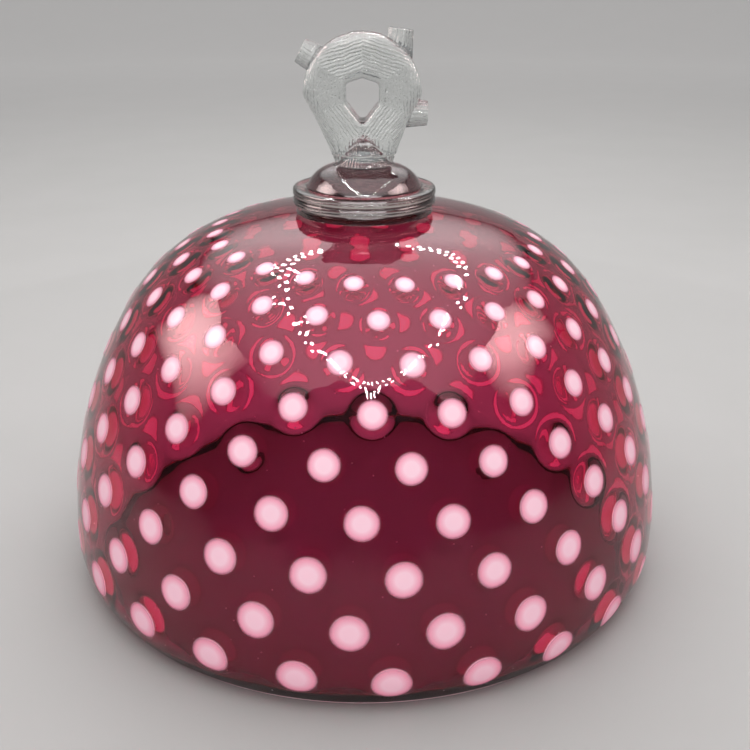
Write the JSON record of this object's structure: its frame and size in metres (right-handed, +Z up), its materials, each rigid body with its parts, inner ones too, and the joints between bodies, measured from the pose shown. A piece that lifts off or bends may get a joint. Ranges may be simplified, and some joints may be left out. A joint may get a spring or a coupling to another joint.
{
  "type": "glass dome cover",
  "caption": "Bell-shaped cranberry glass dome cover with opal dots, a clear collar and a clear ring handle with twig stubs; open underneath.",
  "frame": {"origin": "centre of the ground rim, on the plane that the cover stands on", "axes": "+Z up through the crown and the handle; +X to the right along the plane of the ring handle; -Y is the front, which looks through the ring"},
  "size_m": [0.186, 0.186, 0.1614],
  "materials": {
    "ruby_glass": "fire-polished gold-ruby glass, smooth, with soft bosses on the inside",
    "opalescent_crystal": "fire-polished clear opalescent glass, smooth",
    "opal_glass": "milky white opal glass, glossy, softer towards the edge of each dot",
    "clear_crystal": "clear crystal, fire-polished, ribbed like bark on the ring"
  },
  "bodies": {
    "root": {"ruby_lining": "ruby_glass", "opalescent_casing": "opalescent_crystal", "opal_dots_row_1": "opal_glass", "opal_dots_row_2": "opal_glass", "opal_dots_row_3": "opal_glass", "opal_dots_row_4": "opal_glass", "opal_dots_row_5": "opal_glass", "opal_dots_row_6": "opal_glass", "opal_dots_row_7": "opal_glass", "opal_dots_row_8": "opal_glass", "opal_dots_row_9": "opal_glass", "crown_wad": "clear_crystal", "collar_disc": "clear_crystal", "handle_foot": "clear_crystal", "ring_handle": "clear_crystal", "twig_stub_upper_left": "clear_crystal", "twig_stub_upper_right": "clear_crystal", "twig_stub_side": "clear_crystal"}
  },
  "joints": []
}
